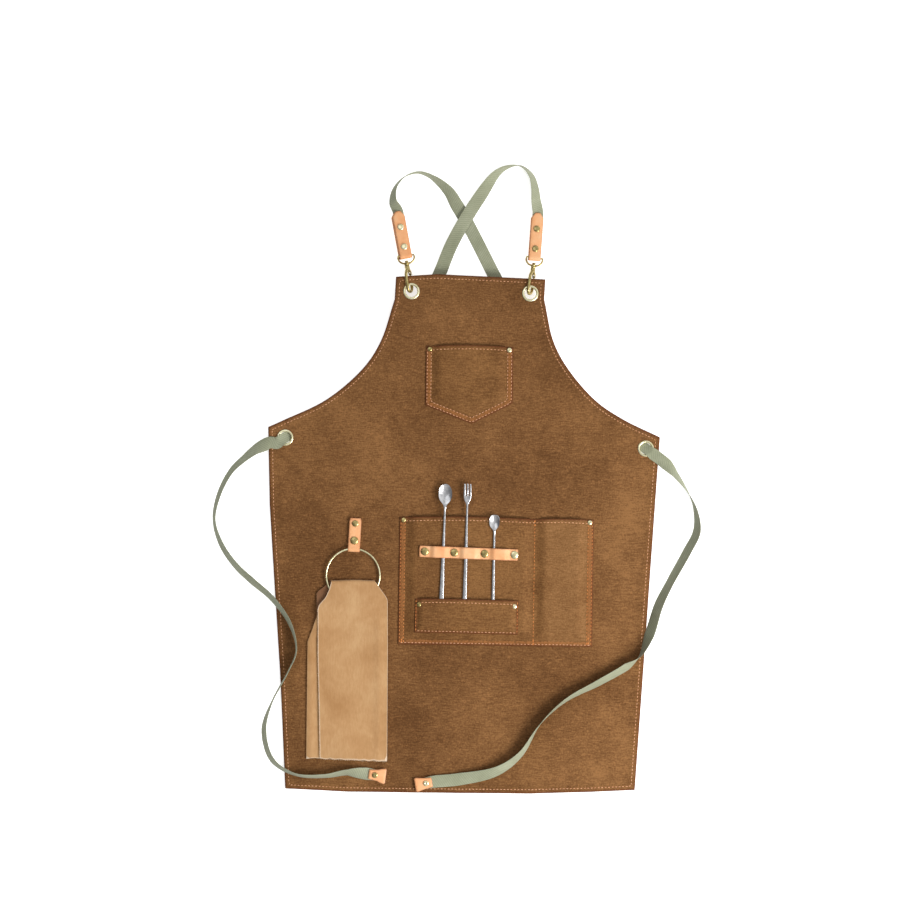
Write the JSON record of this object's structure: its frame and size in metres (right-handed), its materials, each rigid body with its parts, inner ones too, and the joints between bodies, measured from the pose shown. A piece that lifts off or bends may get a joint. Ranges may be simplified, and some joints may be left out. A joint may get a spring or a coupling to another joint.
{
  "type": "work apron",
  "caption": "Cross-back canvas work apron lying flat, with sewn pockets, webbing straps on snap hooks, leather trim, bar tools and a cloth on a ring.",
  "frame": {"origin": "centre of the apron on the surface it lies on, straps left out", "axes": "+Y towards the bib, +X to the right seen from above, +Z out of the front face"},
  "size_m": [0.7559, 0.9751, 0.0248],
  "materials": {
    "canvas": "waxed, matte",
    "leather": "natural vegetable tanned",
    "webbing": "cotton weave",
    "towel": "soft woven cloth",
    "brass": "antique",
    "steel": "polished"
  },
  "bodies": {
    "apron": {"apron_panel": "canvas", "chest_pocket": "canvas", "chest_rivet_1": "brass", "chest_rivet_2": "brass", "eyelet_bib_left": "brass", "eyelet_bib_right": "brass", "eyelet_waist_left": "brass", "eyelet_waist_right": "brass", "hook_eye_left": "brass", "hook_eye_right": "brass", "hook_tab_left": "leather", "hook_tab_right": "leather", "ring_tab": "leather", "ring_tab_rivet_1": "brass", "ring_tab_rivet_2": "brass", "strap_from_left_hook": "webbing", "strap_from_right_hook": "webbing", "strip_rivet_1": "brass", "strip_rivet_2": "brass", "strip_rivet_3": "brass", "strip_rivet_4": "brass", "tab_rivet_left_1": "brass", "tab_rivet_left_2": "brass", "tab_rivet_right_1": "brass", "tab_rivet_right_2": "brass", "tip_left": "leather", "tip_right": "leather", "tip_rivet_left": "brass", "tip_rivet_right": "brass", "tool_pocket": "canvas", "tool_rivet_1": "brass", "tool_rivet_2": "brass", "tool_strip": "leather", "waist_pocket": "canvas", "waist_rivet_1": "brass", "waist_rivet_2": "brass", "washer_bib_left": "brass", "washer_bib_right": "brass", "washer_waist_left": "brass", "washer_waist_right": "brass"},
    "hook_left": {"hook_body_left": "brass", "gate_pin_left": "steel"},
    "gate_left": {"hook_gate_left": "brass"},
    "hook_right": {"hook_body_right": "brass", "gate_pin_right": "steel"},
    "gate_right": {"hook_gate_right": "brass"},
    "ring": {"towel_ring": "brass", "towel": "towel"},
    "long_spoon": {"long_spoon": "steel"},
    "fork": {"fork": "steel"},
    "short_spoon": {"short_spoon": "steel"}
  },
  "joints": [
    {"name": "hook_swivel_left", "type": "hinge", "parent": "apron", "child": "hook_left", "pos_m": [-0.089, 0.3644, 0.0134], "axis": [-0.1132, 0.9936, 0], "range_deg": [0, 45]},
    {"name": "gate_hinge_left", "type": "hinge", "parent": "hook_left", "child": "gate_left", "pos_m": [-0.08392, 0.35039, 0.00564], "axis": [-0.9077, -0.1034, -0.4067], "range_deg": [0, 18], "stiffness_Nm_per_rad": 0.02, "springref_deg": -8.59},
    {"name": "hook_swivel_right", "type": "hinge", "parent": "apron", "child": "hook_right", "pos_m": [0.1062, 0.361, 0.0134], "axis": [0.1478, 0.989, 0], "range_deg": [0, 45]},
    {"name": "gate_hinge_right", "type": "hinge", "parent": "hook_right", "child": "gate_right", "pos_m": [0.10748, 0.34615, 0.00564], "axis": [-0.9035, 0.135, -0.4067], "range_deg": [0, 18], "stiffness_Nm_per_rad": 0.02, "springref_deg": -8.59},
    {"name": "ring_swing", "type": "hinge", "parent": "apron", "child": "ring", "pos_m": [-0.1713, -0.0755, 0.0088], "axis": [-0.9984, 0.0558, 0], "range_deg": [0, 75]},
    {"name": "long_spoon_slide", "type": "slide", "parent": "apron", "child": "long_spoon", "axis": [0.0384, 0.9993, 0], "range_m": [0, 0.13]},
    {"name": "fork_slide", "type": "slide", "parent": "apron", "child": "fork", "axis": [0.0279, 0.9996, 0], "range_m": [0, 0.13]},
    {"name": "short_spoon_slide", "type": "slide", "parent": "apron", "child": "short_spoon", "axis": [0.0201, 0.9998, 0], "range_m": [0, 0.13]}
  ]
}
